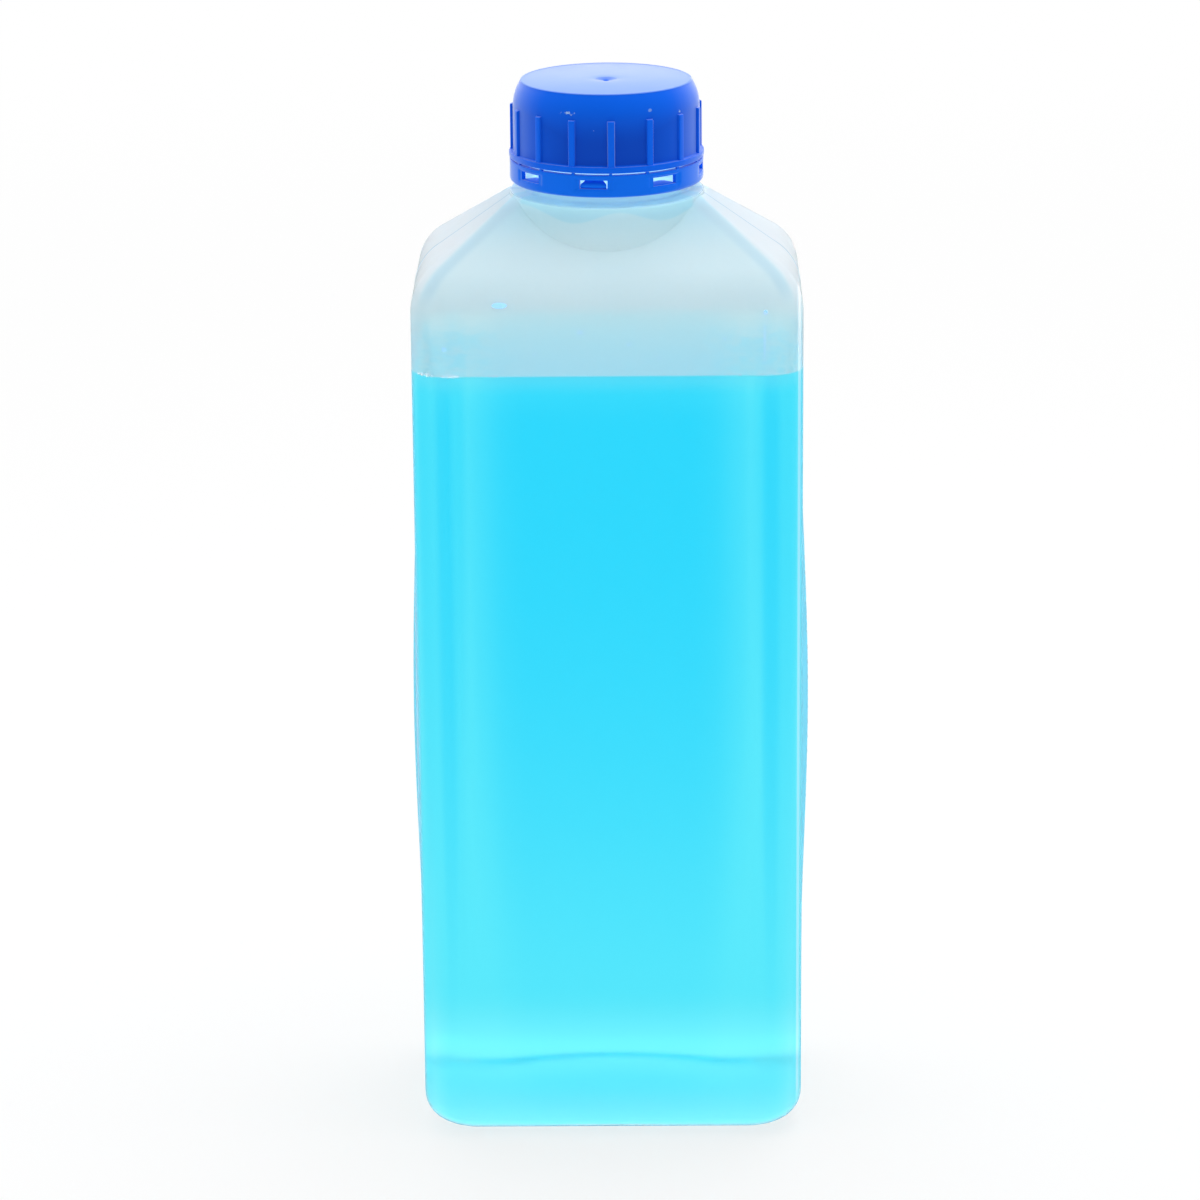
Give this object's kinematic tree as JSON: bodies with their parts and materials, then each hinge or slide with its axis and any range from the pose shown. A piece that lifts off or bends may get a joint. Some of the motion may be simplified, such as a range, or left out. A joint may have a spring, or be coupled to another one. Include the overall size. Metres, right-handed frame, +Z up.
{
  "type": "antifreeze bottle",
  "caption": "Translucent rectangular blow-moulded bottle of cyan coolant with sloped shoulders, ribbed blue screw cap and tamper-evident band.",
  "frame": {"origin": "centre of the base, on the plane that the feet rest on", "axes": "+Z up along the neck, front face towards -Y, wide side along X"},
  "size_m": [0.0948, 0.0682, 0.2513],
  "materials": {
    "natural_hdpe": "translucent, satin, fine stipple",
    "coolant": "clear bright cyan liquid",
    "blue_cap": "satin moulded plastic with light scuffs",
    "liner_foam": "smooth white foam"
  },
  "bodies": {
    "bottle": {"bottle": "natural_hdpe", "coolant": "coolant", "tamper_band": "blue_cap"},
    "liner": {"cap_liner": "liner_foam"},
    "cap": {"cap": "blue_cap"}
  },
  "joints": [
    {"name": "cap_lift", "type": "slide", "parent": "bottle", "child": "liner", "axis": [0, 0, 1], "range_m": [0, 0.0201]},
    {"name": "cap_turn", "type": "hinge", "parent": "liner", "child": "cap", "pos_m": [0, 0, 0.24], "axis": [0, 0, 1], "range_deg": [0, 1800]}
  ],
  "couplings": [
    {"joint": "cap_lift", "follows": "cap_turn", "m_per_rad": 0.00063662}
  ]
}
